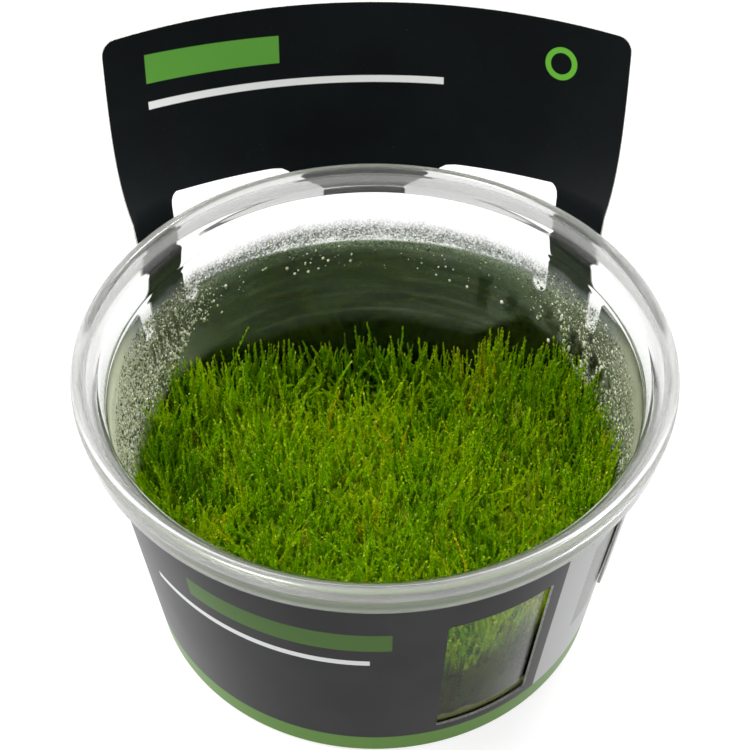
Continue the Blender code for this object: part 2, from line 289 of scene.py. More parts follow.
def turned(name, profile, segments, ripple=None):
    """A closed body turned about Z from a profile whose two ends lie on the axis."""
    bm = bmesh.new()
    rings = []
    for r, z in profile:
        count = 1 if r < 1e-9 else segments
        ring = []
        for i in range(count):
            angle = 2 * math.pi * i / segments
            reach = r + (ripple(angle, r, z) if ripple and count > 1 else 0.0)
            ring.append(bm.verts.new((reach * math.sin(angle), reach * math.cos(angle), z)))
        rings.append(ring)
    mesh = skinned(name, bm, rings, segments)
    mesh.set_sharp_from_angle(angle=math.radians(50))
    return mesh


def gel_ripple(angle, r, z):
    point = Vector((math.sin(angle), math.cos(angle), z / (4 * MM))) * 3
    return 0.12 * MM * noise.noise(point) if z > GEL_TOP - MM and r < 38 * MM else 0.0


GEL_FOOT = 1.5 * MM
gel_profile = [(0.0, GEL_FLOOR)]
gel_profile += arc((wall_inner(2.5 * MM) - 0.3 * MM - GEL_FOOT, GEL_FLOOR + GEL_FOOT), GEL_FOOT, -90, 0, 5)
gel_profile += [(wall_inner(GEL_TOP) - 0.3 * MM, GEL_TOP)]
gel_profile += [(r * MM, GEL_TOP - 0.35 * MM * min(1.0, (39.9 - r) / 2.5))
                for r in (39.2, 38.2, 36.5, 30, 20, 10)]
gel_profile += [(0.0, GEL_TOP - 0.35 * MM)]
gel_finish = Finish("nutrient_gel")
cloud = gel_finish.noise(6 * MM, 3)
piece("nutrient_gel_fill", turned("nutrient_gel_fill", gel_profile, 96, gel_ripple), gel_finish.surface(
    gel_finish.principled(
        Base_Color=gel_finish.mix(cloud.step(0.35, 0.7), (0.34, 0.36, 0.12), (0.22, 0.25, 0.07)),
        Roughness=0.12 + 0.15 * cloud, IOR=1.34, Transmission_Weight=0.55,
        Normal=gel_finish.bump(gel_finish.noise(1.4 * MM, 2), 0.25, 0.2 * MM))),
    "nutrient_gel", "nutrient_gel")

# Java moss grows as a mat of fine upright stems, each with two rows of pointed
# leaves. Only its own weave and the gel under it hold it. Against the wall the
# stems are longer, at the right most of all.
MOSS_CANOPY = 25.5 * MM
MOSS_SEED = 11
WALL_ROOM = 1.2 * MM
ROOT_LOWEST = 7.2 * MM
chooser = np.random.default_rng(MOSS_SEED)
noise.seed_set(MOSS_SEED)


def smooth(low, high, value):
    """0 at low, 1 at high, smooth between; low may be the larger."""
    part = min(1.0, max(0.0, (value - low) / (high - low)))
    return part * part * (3 - 2 * part)


def canopy(x, y):
    """Height of the moss tips: low at the back of the cup, highest along the right wall."""
    back = smooth(6 * MM, 42 * MM, y) * (1 - smooth(13 * MM, 38 * MM, abs(x)))
    edge = smooth(26 * MM, 42 * MM, math.hypot(x, y))
    right = smooth(14 * MM, 40 * MM, x)
    swell = noise.noise(Vector((x, y, 0)) / (13 * MM))
    tufts = noise.noise(Vector((x, y, 7 * MM)) / (4.5 * MM))
    return MOSS_CANOPY + (5.5 + 3 * right) * MM * edge - 12 * MM * back + (2.2 * swell + 1.7 * tufts) * MM


def mesh_of(name, points, corners, sizes, layers=(), baked=None):
    """A mesh from arrays: points, the corners of every face in a row, and face sizes."""
    mesh = bpy.data.meshes.new(name)
    mesh.vertices.add(len(points))
    mesh.vertices.foreach_set("co", points.astype(np.float32).ravel())
    mesh.loops.add(len(corners))
    mesh.loops.foreach_set("vertex_index", corners.astype(np.int32))
    mesh.polygons.add(len(sizes))
    starts = np.concatenate([[0], np.cumsum(sizes)[:-1]])
    mesh.polygons.foreach_set("loop_start", starts.astype(np.int32))
    for layer_name, values in layers:
        mesh.attributes.new(layer_name, "FLOAT", "POINT").data.foreach_set("value", values.astype(np.float32))
    if baked is not None:
        uv = mesh.uv_layers.new(name="OFBake")
        uv.data.foreach_set("uv", baked[corners].astype(np.float32).ravel())
    mesh.update(calc_edges=True)
    mesh.validate()
    mesh.shade_smooth()
    return mesh


def unit(vectors):
    return vectors / np.maximum(np.linalg.norm(vectors, axis=-1, keepdims=True), 1e-12)


STEM_RINGS = 6
STEM_SIDES = 3
LEAVES = 32
LEAF_HALF_WIDTH = 0.30
LEAF_FOLD = 0.08


def moss_stems(name, roots, tips, bow, tone, width):
    """Stems from roots to tips, each a thin tube with two rows of folded leaves."""
    count = len(roots)
    along = np.linspace(0.0, 1.0, STEM_RINGS)[None, :, None]
    middle = (roots + tips) / 2 + bow

    def on_path(t):
        return roots[:, None] * (1 - t) ** 2 + middle[:, None] * 2 * t * (1 - t) + tips[:, None] * t ** 2

    def heading(t):
        return unit((middle - roots)[:, None] * (1 - t) + (tips - middle)[:, None] * t)

    turned_by = chooser.uniform(0, math.pi, count)
    facing = np.stack([np.cos(turned_by), np.sin(turned_by), np.zeros(count)], -1)[:, None]
    length = np.linalg.norm(tips - roots, axis=1)

    # The tube
    path, ahead = on_path(along), heading(along)
    out = unit(np.cross(ahead, np.broadcast_to(facing, ahead.shape)))
    up = np.cross(ahead, out)
    thick = (0.11 * MM * (1 - 0.6 * along)) * width[:, None, None]
    turns = np.arange(STEM_SIDES) * 2 * math.pi / STEM_SIDES
    cosines, sines = (wave(turns)[None, None, :, None] for wave in (np.cos, np.sin))
    rings = path[:, :, None] + thick[..., None] * (out[:, :, None] * cosines + up[:, :, None] * sines)
    tube_points = rings.reshape(-1, 3)
    k = np.arange(STEM_RINGS - 1)[:, None]
    s = np.arange(STEM_SIDES)[None]
    quad = np.stack([k * STEM_SIDES + s, k * STEM_SIDES + (s + 1) % STEM_SIDES,
                     (k + 1) * STEM_SIDES + (s + 1) % STEM_SIDES, (k + 1) * STEM_SIDES + s], -1).reshape(-1)
    per = STEM_RINGS * STEM_SIDES
    tube_corners = (np.arange(count)[:, None] * per + quad[None]).ravel()
    tube_sizes = np.full(len(tube_corners) // 4, 4)
    tube_along = np.broadcast_to(along, (count, STEM_RINGS, STEM_SIDES)).reshape(-1)
    tube_tone = np.repeat(tone, per)

    # The leaves
    spots = (np.arange(LEAVES) + 0.5) / LEAVES
    spots = 0.16 + 0.84 * spots[None] + chooser.uniform(-0.008, 0.008, (count, LEAVES))
    t = np.clip(spots, 0, 1)[..., None]
    base, ahead = on_path(t), heading(t)
    twist = chooser.normal(0, 0.35, (count, LEAVES, 1)) + (np.arange(LEAVES) % 2 * math.pi)[None, :, None]
    cross = unit(np.cross(ahead, np.broadcast_to(facing, ahead.shape)))
    up = np.cross(ahead, cross)
    sideways = cross * np.cos(twist) + up * np.sin(twist)
    flat = -cross * np.sin(twist) + up * np.cos(twist)
    spread = np.radians(chooser.uniform(18, 44, (count, LEAVES, 1)) * (1 - 0.4 * t ** 3))
    size = chooser.uniform(0.54, 0.98, (count, LEAVES, 1)) * (1 - 0.45 * t ** 4) * width[:, None, None] * MM
    axis = ahead * np.cos(spread) + sideways * np.sin(spread)
    lift = np.cross(axis, flat)
    widest = base + axis * size * 0.42 + lift * size * LEAF_FOLD
    half = flat * size * LEAF_HALF_WIDTH
    leaf_points = np.stack([base, widest + half, base + axis * size, widest - half], 2).reshape(-1, 3)
    each = np.arange(count * LEAVES)[:, None] * 4 + len(tube_points)
    leaf_corners = np.concatenate([each + np.array([[0, 1, 2]]), each + np.array([[0, 2, 3]])], 1).ravel()
    leaf_sizes = np.full(count * LEAVES * 2, 3)
    leaf_along = (t + np.array([0.0, 0.02, 0.04, 0.02])[None, None]).reshape(-1)
    leaf_tone = np.repeat(tone, LEAVES * 4) + np.tile([0.0, 0.012, 0.0, -0.012], count * LEAVES)

    points = np.concatenate([tube_points, leaf_points])
    corners = np.concatenate([tube_corners, leaf_corners])
    sizes = np.concatenate([tube_sizes, leaf_sizes])
    grown = np.clip(np.concatenate([tube_along, leaf_along]), 0, 1)
    shade_of = np.clip(np.concatenate([tube_tone, leaf_tone]), 0, 1)
    return mesh_of(name, points, corners, sizes, (("grown", grown), ("tone", shade_of)),
                   np.stack([grown, shade_of], 1))


def moss_finish():
    moss = Finish("moss_leaf")
    grown, tone = moss.layer("grown"), moss.layer("tone")
    fresh = tone.ramp((0.0, (0.14, 0.36, 0.0004)), (0.45, (0.31, 0.58, 0.0006)), (0.8, (0.50, 0.66, 0.001)),
                      (1.0, (0.60, 0.52, 0.008)))
    old = tone.ramp((0.0, (0.07, 0.17, 0.0008)), (0.55, (0.15, 0.26, 0.001)), (0.85, (0.26, 0.22, 0.004)),
                    (1.0, (0.36, 0.21, 0.015)))
    colour = moss.mix(grown.step(0.15, 0.75), old, fresh)
    colour = moss.mix(grown.step(0.93, 1.0) * 0.5, colour, (0.64, 0.74, 0.02))
    leaf = moss.principled(Base_Color=colour, Roughness=0.40 + 0.2 * (1 - grown), Specular_IOR_Level=0.12)
    through = moss.node("ShaderNodeBsdfTranslucent", None, {"Color": colour})
    return moss.surface(moss.node("ShaderNodeMixShader", None, {0: 0.42, 1: leaf, 2: through}))


def scattered(spacing, reach):
    """Places on a shaken triangular lattice inside a radius."""
    places = []
    rows = int(reach / (spacing * 0.866)) + 1
    for j in range(-rows, rows + 1):
        for i in range(-2 * rows, 2 * rows + 1):
            places.append(((i + j * 0.5) * spacing, j * 0.866 * spacing))
    places = np.array(places) + chooser.uniform(-0.55, 0.55, (len(places), 2)) * spacing
    return places[np.hypot(places[:, 0], places[:, 1]) < reach]


def kept_in(points):
    """Move the points that would reach the wall in towards the axis, and give them."""
    limit = wall_inner(0.0) + WALL_SLOPE * points[:, 2] - WALL_ROOM
    reach = np.hypot(points[:, 0], points[:, 1])
    points[:, :2] *= np.minimum(1.0, limit / reach)[:, None]
    return points


def grow(places, rise, length, lean, flexing):
    """Roots, tips and bows of stems that stand at the given places."""
    drift = np.array([noise.noise_vector(Vector((x, y, 2.0 * MM)) / (9 * MM)) for x, y in places])
    lean = chooser.normal(0, lean, (len(places), 2)) + drift[:, :2] * 0.30
    top = np.array([canopy(x, y) for x, y in places])
    tips = np.concatenate([places + lean * length[:, None] * 0.5, (top + rise)[:, None]], 1)
    roots = tips - np.concatenate([lean, np.ones((len(places), 1))], 1) * length[:, None]
    roots[:, 2] = np.maximum(roots[:, 2], ROOT_LOWEST)
    kept_in(tips)
    kept_in(roots)
    bow = chooser.normal(0, flexing, (len(places), 3)) * length[:, None] * [1, 1, 0.2]
    bow = kept_in((roots + tips) / 2 + bow) - (roots + tips) / 2
    tone = np.clip(0.43 + 0.17 * chooser.normal(0, 1, len(places)) + 0.52 * drift[:, 2], 0.02, 0.98)
    return roots, tips, bow, tone, chooser.uniform(1.0, 1.6, len(places))


# Low stems fill the mat, tall ones stand out of it, and a few wisps stand out
# of those. Against the wall they grow straight up it from the gel, and long
# strands lean there at both sides and, fewer, at the back.
WALL_STEMS = 860
WALL_STEM_RADIUS = 42.0 * MM
MAT_INSET = 0.9 * MM
inside = wall_inner(20 * MM) - MAT_INSET
low_places = scattered(1.45 * MM, inside)
tall_places = scattered(1.95 * MM, inside)
wisp_places = scattered(4.6 * MM, inside)
wall_angles = chooser.uniform(-math.pi, math.pi, WALL_STEMS)
wall_places = np.stack([np.sin(wall_angles), np.cos(wall_angles)], 1) * WALL_STEM_RADIUS


def strands(count, from_bearing, to_bearing, low, high):
    """Places of long strands near the wall between two bearings in degrees from the
    back, and how far each rises over the canopy so its tip is at low to high mm."""
    turned_to = np.radians(chooser.uniform(from_bearing, to_bearing, count))
    away = chooser.uniform(36.5, 43.0, count) * MM
    places = np.stack([np.sin(turned_to), np.cos(turned_to)], 1) * away[:, None]
    return places, chooser.uniform(low, high, count) * MM - np.array([canopy(x, y) for x, y in places])


def drawn(low, high, places):
    """A measure for each place, drawn between low and high mm."""
    return chooser.uniform(low, high, len(places)) * MM


right_places, right_rise = strands(240, 58, 116, 30.0, 41.0)
left_places, left_rise = strands(200, -110, -56, 27.5, 36.5)
rear_places, rear_rise = strands(70, -50, 58, 17.0, 26.0)
kinds = [
    grow(low_places, drawn(-8.0, -3.5, low_places), drawn(7, 11, low_places), 0.24, 0.07),
    grow(tall_places, drawn(-4.5, 2.2, tall_places), drawn(14, 20, tall_places), 0.20, 0.10),
    grow(wisp_places, drawn(0.5, 5.0, wisp_places), drawn(16, 22, wisp_places), 0.18, 0.10),
    grow(wall_places, drawn(-8.0, 2.0, wall_places), drawn(13, 24, wall_places), 0.05, 0.03),
    grow(right_places, right_rise, drawn(18, 26, right_places), 0.14, 0.10),
    grow(left_places, left_rise, drawn(16, 22, left_places), 0.14, 0.10),
    grow(rear_places, rear_rise, drawn(10, 15, rear_places), 0.16, 0.07),
]
roots, tips, bow, tone, width = (np.concatenate(parts) for parts in zip(*kinds))

green = moss_finish()
bearing = np.degrees(np.arctan2(roots[:, 0], roots[:, 1]))
radius = np.hypot(roots[:, 0], roots[:, 1])
outer = radius >= 20 * MM
groups = {
    "moss_middle": ~outer,
    "moss_back": outer & (np.abs(bearing) < 45),
    "moss_front": outer & (np.abs(bearing) > 135),
    "moss_right": outer & (bearing >= 45) & (bearing <= 135),
    "moss_left": outer & (bearing <= -45) & (bearing >= -135),
}
for name, chosen in groups.items():
    mesh = moss_stems(name, roots[chosen], tips[chosen], bow[chosen], tone[chosen], width[chosen])
    piece(name, mesh, green, "moss")

# Fine drops of dew hang on the tips and the upper leaves. They are water, each a small bead
# that sits on its stem, and their pale green-white colour is painted glint.
DEW_TIPS = 700
DEW_LEAVES = 1100
bead = bmesh.new()
bmesh.ops.create_icosphere(bead, subdivisions=1, radius=1.0)
bead_points = np.array([vert.co for vert in bead.verts])
bead_faces = np.array([[vert.index for vert in face.verts] for face in bead.faces])
bead.free()
high = np.flatnonzero(tips[:, 2] > np.median(tips[:, 2]) - 2 * MM)
at_tips = tips[chooser.choice(high, DEW_TIPS, replace=False)]
stem = chooser.choice(high, DEW_LEAVES, replace=False)
t = chooser.uniform(0.62, 0.97, DEW_LEAVES)[:, None]
bends = (roots + tips) / 2 + bow
on_stems = roots[stem] * (1 - t) ** 2 + bends[stem] * 2 * t * (1 - t) + tips[stem] * t ** 2
on_stems += chooser.normal(0, 0.16 * MM, on_stems.shape)
dew_at = np.concatenate([at_tips, on_stems])
tip_size, leaf_size = chooser.uniform(0.05, 0.12, DEW_TIPS), chooser.uniform(0.04, 0.09, DEW_LEAVES)
dew_size = np.concatenate([tip_size, leaf_size]) * MM
dew_points = (dew_at[:, None] + bead_points[None] * dew_size[:, None, None]).reshape(-1, 3)
dew_corners = (np.arange(len(dew_at))[:, None, None] * len(bead_points) + bead_faces[None]).ravel()
dew_uv = np.stack([dew_points[:, 0], dew_points[:, 1]], 1) / (100 * MM) + 0.5
dew_mesh = mesh_of("moss_dew", dew_points, dew_corners, np.full(len(dew_corners) // 3, 3), (), dew_uv)
dew = Finish("dew")
# The dew's pale green-white base colour is painted glint.
piece("moss_dew", dew_mesh, dew.surface(dew.principled(
    Base_Color=dew.mix(dew.noise(4 * MM, 1).step(0.35, 0.65), (0.62, 0.78, 0.16), (0.86, 0.92, 0.50)),
    Roughness=0.08, IOR=1.33, Transmission_Weight=0.35)), "moss")

# Old stems lie matted under the green ones, dark, wet and partly brown. The mat
# rests on the gel, fills the cup from wall to wall and follows the canopy.
MAT_RINGS = 46
MAT_SEGMENTS = 150
MAT_BOTTOM = 6.8 * MM


def mat_height(x, y):
    lumps = noise.noise(Vector((x, y, 0)) / (2.6 * MM))
    lumps += 0.5 * noise.noise(Vector((x, y, 9 * MM)) / (1.1 * MM))
    return max(8.0 * MM, canopy(x, y) - 9.5 * MM + 1.6 * MM * lumps)


bm = bmesh.new()
mat_rings = [[bm.verts.new((0, 0, mat_height(0, 0)))]]
for k in range(1, MAT_RINGS + 1):
    share = k / MAT_RINGS
    ring = []
    for i in range(MAT_SEGMENTS):
        angle = 2 * math.pi * i / MAT_SEGMENTS
        x, y = math.sin(angle), math.cos(angle)
        z = mat_height(40.5 * MM * share * x, 40.5 * MM * share * y)
        r = (wall_inner(z) - MAT_INSET) * share
        ring.append(bm.verts.new((r * x, r * y, z)))
    mat_rings.append(ring)
for level in (0.75, 0.5, 0.25, 0.0):
    ring = []
    for i, vert in enumerate(mat_rings[MAT_RINGS]):
        z = MAT_BOTTOM + (vert.co.z - MAT_BOTTOM) * level
        flat = Vector((vert.co.x, vert.co.y, 0)).normalized()
        inset = MAT_INSET + 0.7 * MM * abs(noise.noise(Vector((flat.x, flat.y, z / (9 * MM))) * 14))
        r = wall_inner(z) - inset
        ring.append(bm.verts.new((r * flat.x, r * flat.y, z)))
    mat_rings.append(ring)
mat_rings.append([bm.verts.new((0, 0, MAT_BOTTOM))])
mat_mesh = skinned("moss_mat", bm, mat_rings, MAT_SEGMENTS)
mat = Finish("moss_mat")
patch = mat.noise(7 * MM, 3)
threads = mat.noise(0.6 * MM, 4, 0.7, (1, 1, 0.25))
mat_colour = mat.mix(patch.step(0.46, 0.70), (0.14, 0.25, 0.003), (0.18, 0.19, 0.006))
mat_colour = mat.mix(threads.step(0.45, 0.75), mat_colour, (0.16, 0.26, 0.006))
piece("moss_mat", mat_mesh, mat.surface(mat.principled(
    Base_Color=mat_colour, Roughness=0.75 - 0.3 * threads, Specular_IOR_Level=0.08,
    Normal=mat.bump(threads, 0.8, 0.5 * MM))), "moss", "moss")

# The cup is one clear moulding with a thin tapered wall, a small ledge for a
# lid, a rolled bead and a hanging skirt. It stands on its flat base.
CUP_HEIGHT = 57.7 * MM
RIM_RADIUS = 50.5 * MM
RIM_BEAD = 2.4 * MM
RIM_SKIRT = 5.75 * MM
LEDGE_DROP = 3.0 * MM
FLOOR_THICKNESS = 0.7 * MM
FOOT_ROUND = 2.4 * MM

t = WALL_THICKNESS
bead_z, bead_r = CUP_HEIGHT - RIM_BEAD / 2, RIM_RADIUS - RIM_BEAD / 2
skirt_z, skirt_r = CUP_HEIGHT - RIM_SKIRT, RIM_RADIUS - 0.8 * MM
ledge_z = CUP_HEIGHT - LEDGE_DROP
ledge_r = wall_inner(ledge_z)
foot_r = wall_outer(FOOT_ROUND) - FOOT_ROUND
inner_round = FOOT_ROUND - t
inner_z = FLOOR_THICKNESS + inner_round
RIDGE_HEIGHT, RIDGE_PROUD = 50.0 * MM, 0.16 * MM
RIDGE_HALF = 0.6 * MM
heights = [FOOT_ROUND + (ledge_z - 1.4 * MM - FOOT_ROUND) * i / 24 for i in range(1, 25)]
heights = [z for z in heights if abs(z - RIDGE_HEIGHT) > 1.2 * RIDGE_HALF]
heights = sorted(heights + [RIDGE_HEIGHT + RIDGE_HALF * q for q in (-1, -0.5, 0, 0.5, 1)])


def ridge(z):
    """How far the wall stands out at the fine ring round it."""
    return RIDGE_PROUD * smooth(RIDGE_HALF, 0.0, abs(z - RIDGE_HEIGHT))


cup_profile = [(0.0, 0.3 * MM), (30 * MM, 0.3 * MM), (31 * MM, 0.0)]
cup_profile += arc((foot_r, FOOT_ROUND), FOOT_ROUND, -90, 0, 6)
cup_profile += [(wall_outer(z) + ridge(z), z) for z in heights]
cup_profile += [
    (ledge_r + 1.1 * MM, ledge_z - 0.3 * MM),
    (ledge_r + 1.9 * MM, ledge_z + 0.55 * MM),
    (bead_r - 1.0 * MM, bead_z - 0.45 * MM),
    (bead_r - 0.5 * MM, bead_z - 0.75 * MM),
    (bead_r, bead_z - 0.85 * MM),
    (bead_r + 0.35 * MM, bead_z - 1.05 * MM),
    (bead_r + RIM_BEAD / 2 - t, bead_z - 1.6 * MM),
    (skirt_r - t, skirt_z + 0.15 * MM),
    (skirt_r - t + 0.15 * MM, skirt_z),
    (skirt_r - 0.15 * MM, skirt_z),
    (skirt_r, skirt_z + 0.15 * MM),
    (RIM_RADIUS - 0.45 * MM, bead_z - 2.6 * MM),
    (RIM_RADIUS - 0.15 * MM, bead_z - 1.0 * MM),
]
cup_profile += arc((bead_r, bead_z), RIM_BEAD / 2, 0, 150, 14)
cup_profile += [(ledge_r + 1.3 * MM, ledge_z + 1.0 * MM), (ledge_r + 0.45 * MM, ledge_z + 0.5 * MM),
                (ledge_r + 0.1 * MM, ledge_z + 0.1 * MM), (ledge_r, ledge_z - 0.5 * MM)]
cup_profile += [(wall_inner(z) + 0.8 * ridge(z), z) for z in reversed(heights) if z < ledge_z - 1.5 * MM]
cup_profile += arc((wall_inner(inner_z) - inner_round, inner_z), inner_round, 0, -90, 6)
cup_profile += [(0.0, FLOOR_THICKNESS)]


def wall_ripple(angle, r, z):
    """The thin wall is a little wavy, as such mouldings are."""
    wave = noise.noise(Vector((math.sin(angle) * 2.2, math.cos(angle) * 2.2, z / (16 * MM))))
    return 0.05 * MM * wave * smooth(4 * MM, 14 * MM, z) * (1 - smooth(46 * MM, 53 * MM, z))


clear = Finish("clear_plastic")
across = (clear.axis("X") ** 2 + clear.axis("Y") ** 2) ** 0.5
rim_share = clear.axis("Z").step(skirt_z - 0.6 * MM, skirt_z + 0.2 * MM)
rim_share = rim_share * across.step(ledge_r + 0.6 * MM, ledge_r + 1.6 * MM)
glass = clear.principled(
    Base_Color=(0.98, 0.98, 0.98), Transmission_Weight=1.0, IOR=1.49,
    Roughness=0.01 + 0.05 * clear.noise(9 * MM, 3).step(0.45, 0.8) + 0.16 * rim_share)
milk = clear.principled(Base_Color=(0.58, 0.58, 0.56), Roughness=0.35)
# The milky share is a slight haze all round the rim. The extra on the outer bead and on the inner slope is
# painted reflection: the bead's bright band and the slope's grey.
painted_bead_reflection, painted_slope_reflection = across.step(48.9 * MM, 49.4 * MM), across.within(46.5 * MM, 48.0 * MM, 0.2 * MM)
haze_and_painted_rim_light = 0.06 + 0.22 * painted_bead_reflection + 0.18 * painted_slope_reflection
piece("clear_cup", turned("clear_cup", cup_profile, 224, wall_ripple), clear.surface(clear.node(
    "ShaderNodeMixShader", None, {0: rim_share * haze_and_painted_rim_light, 1: glass, 2: milk})), "clear_plastic", "cup")

# Fine mist lies on the inside of the wall from the moss up to a little above the sleeve.
# It is water, and it is wiped away where drops have run. Its tints and its extra thickness at the sides are
# partly painted light.
FOG_LOW, FOG_HIGH = 15.0 * MM, 53.0 * MM
FOG_OFF_WALL = 0.08 * MM
FOG_SEGMENTS = 144
FOG_LEVELS = 24
# Each run is its bearing from the back, its half width, and its ends' heights in mm.
RUNS = ((28.8, 1.9, 31.5, 39.5), (37.6, 2.0, 33.5, 38.2), (41.2, 2.4, 30.5, 36.5), (48.2, 1.7, 36.0, 39.5),
        (50.8, 1.8, 34.5, 38.0), (57.6, 1.8, 34.0, 39.3), (60.6, 1.4, 32.5, 38.3), (63.6, 1.0, 40.0, 42.0),
        (66.8, 1.5, 34.5, 39.4), (70.5, 1.7, 33.0, 38.4), (75.0, 1.4, 36.0, 39.0), (-62.3, 0.5, 37.0, 44.0),
        (-59.0, 0.5, 37.5, 42.5), (-66.0, 0.6, 36.0, 41.5), (-56.0, 0.5, 36.0, 43.0))

fog = Finish("mist")
fog_x, fog_y, fog_z = fog.axis("X"), fog.axis("Y"), fog.axis("Z")
around = fog_x.maths("ARCTAN2", fog_x, fog_y) * (180 / math.pi)
beside = around.maths("ABSOLUTE", around)
ragged = (fog.noise(2.2 * MM, 3, 0.65) - 0.5) * 7.0
bands = fog.noise(3 * MM, 2, stretch=(0.16, 0.16, 1.6))
speckle = fog.noise(0.42 * MM, 2, 0.6)
cloudy = fog.noise(5 * MM, 3, 0.6)
lifted = 9.5 * around.step(24, 44) * around.step(88, 68) + 4.0 * around.step(-30, -48)
low_edge = (fog_z - MM * lifted + 3 * MM * beside.step(60, 80)).step(23.5 * MM, 26.5 * MM)
body = low_edge * (fog_z - 4 * MM * beside.step(50, 75) + (cloudy - 0.5) * 3 * MM).step(47.5 * MM, 44.0 * MM)
# Thicker towards the sides: partly more mist there, partly painted sheen of the wall seen at a slant.
depth = 0.085 + 0.08 * beside.step(20, 42) + 0.22 * beside.step(42, 60) + 0.52 * beside.step(62, 82)
depth = depth * (1 - 0.48 * around.step(48, 66)) * (1 - 0.96 * beside.step(112, 135))
# Two thin bands of denser mist at the back are painted highlights of faint ridges in the wall.
painted_ridge_highlights = fog_z.within(30.9 * MM, 31.9 * MM, 0.3 * MM) + fog_z.within(26.9 * MM, 27.7 * MM, 0.3 * MM)
shoulder = fog_z.step(39.5 * MM, 43.8 * MM) * (0.12 + 0.30 * speckle.step(0.35, 0.65))
depth = depth + 0.045 * painted_ridge_highlights * beside.step(40, 28) + shoulder * beside.step(62, 40)
mist_alpha = body * depth * (0.55 + 0.6 * cloudy + 0.6 * bands.step(0.42, 0.7) * (1 - beside.step(30, 60)))
wiped = 0.0
for angle, half, low, high in RUNS:
    mark = (around + ragged).within(angle - half, angle + half, 1.1)
    mark = mark * (fog_z + ragged * 0.35 * MM).within(low * MM, high * MM, 1.6 * MM)
    wiped = mark.maths("MAXIMUM", wiped, mark)
mist_alpha = mist_alpha * (1 - (0.72 + 0.2 * beside.step(45, 60)) * wiped)
collar = (fog_z + (cloudy - 0.5) * 3 * MM).within(44.2 * MM, 47.6 * MM, 1.6 * MM)
collar = collar * (1 - 0.7 * beside.step(45, 70)) * (0.30 + 0.5 * speckle.step(0.35, 0.65))
film = fog_z.step(43 * MM, 46 * MM) * beside.step(80, 65)
mist_alpha = mist_alpha.maths("MINIMUM", mist_alpha + collar + 0.035 * film, 0.96)
# Painted light in the mist's colour: green-grey at the back for light off the moss, paler at the sides and at
# the left for painted sheen, and dark green in the front for the moss seen through it.
mist_colour = fog.mix(beside.step(35, 80), (0.50, 0.62, 0.42), (0.80, 0.84, 0.60))
mist_colour = fog.mix(around.step(-50, -72), mist_colour, (0.94, 0.96, 0.74))
mist_colour = fog.mix(film * 0.8, mist_colour, (0.66, 0.72, 0.74))
mist_colour = fog.mix(collar.step(0.05, 0.4) * 0.85, mist_colour, (0.26, 0.27, 0.25))
mist_colour = fog.mix(beside.step(110, 130), mist_colour, (0.38, 0.48, 0.14))
fog_points = []
for level in range(FOG_LEVELS + 1):
    z = FOG_LOW + (FOG_HIGH - FOG_LOW) * level / FOG_LEVELS
    for i in range(FOG_SEGMENTS):
        angle = 2 * math.pi * i / FOG_SEGMENTS
        r = wall_inner(z) - FOG_OFF_WALL
        fog_points.append((r * math.sin(angle), r * math.cos(angle), z))
fog_ring = [(i, (i + 1) % FOG_SEGMENTS) for i in range(FOG_SEGMENTS)]
fog_corners = [level * FOG_SEGMENTS + corner for level in range(FOG_LEVELS) for i, j in fog_ring
               for corner in (i, j, j + FOG_SEGMENTS, i + FOG_SEGMENTS)]
fog_mesh = mesh_of("mist", np.array(fog_points), np.array(fog_corners), np.full(FOG_LEVELS * FOG_SEGMENTS, 4))
piece("mist", fog_mesh, fog.surface(fog.principled(
    Base_Color=mist_colour, Roughness=0.55, Specular_IOR_Level=0.3, Alpha=mist_alpha)), "clear_plastic")

# Drops of condensation stand on the mist, crowded at the two sides. They are
# fine near the sleeve's top and grow where they are about to run.
DROP_SIDES = 5
DROP_TRIES = 60000
DROP_MOST = 7800
drop_rng = np.random.default_rng(5)
# Each ripe drop is its bearing from the back, height and size in mm, and length.
RIPE_DROPS = (
    (34.5, 35.0, 0.45, 1.2), (52.6, 39.6, 0.42, 2.6), (53.2, 37.6, 0.35, 1.4), (57.0, 34.6, 0.40, 2.2),
    (57.4, 32.2, 0.32, 1.4), (61.8, 38.4, 0.45, 2.4), (62.4, 36.4, 0.38, 1.3), (69.8, 37.6, 0.35, 2.4),
    (50.0, 32.6, 0.42, 1.5), (24.6, 35.6, 0.35, 1.2), (64.8, 41.2, 0.35, 1.6), (-60.4, 38.0, 0.42, 1.6),
    (-65.4, 37.0, 0.38, 1.4), (-68.3, 35.6, 0.38, 1.3), (-52.6, 35.8, 0.42, 1.3), (-57.7, 33.0, 0.40, 1.3),
    (-14.5, 44.6, 0.42, 1.1), (5.6, 44.4, 0.38, 1.1), (-22.0, 43.6, 0.40, 1.1))
turns = np.arange(DROP_SIDES) * 2 * math.pi / DROP_SIDES
neighbours = [(s, (s + 1) % DROP_SIDES) for s in range(DROP_SIDES)]
belt_faces = [c for s, n in neighbours for c in (s, n, DROP_SIDES + n, DROP_SIDES + s)]
cap_faces = [c for s, n in neighbours for c in (DROP_SIDES + s, DROP_SIDES + n, 2 * DROP_SIDES)]
one_drop = np.array(belt_faces + cap_faces + list(range(DROP_SIDES))[::-1])


def drop_crowd(angle, z):
    """How crowded the drops are at an angle from the back and a height, 0 to about 1."""
    away = abs(angle)
    side_share = smooth(38, 60, away) * (1 - 0.8 * smooth(98, 120, away))
    top = (47.0 - 3.0 * smooth(74, 94, away)) * MM
    low = (37.0 - 7.0 * smooth(48, 64, away)) * MM
    belt = smooth(low - 2 * MM, low + 2 * MM, z) * (1 - smooth(top - 1.2 * MM, top + 0.8 * MM, z))
    crowd = (0.03 + 0.97 * side_share) * belt
    crowd += 0.05 * smooth(43.0 * MM, 44.0 * MM, z) * (1 - smooth(45 * MM, 48.5 * MM, z))
    for run, half, run_low, run_high in RUNS:
        if abs(angle - run) < half and run_low * MM < z < run_high * MM:
            crowd *= 0.02
    return crowd


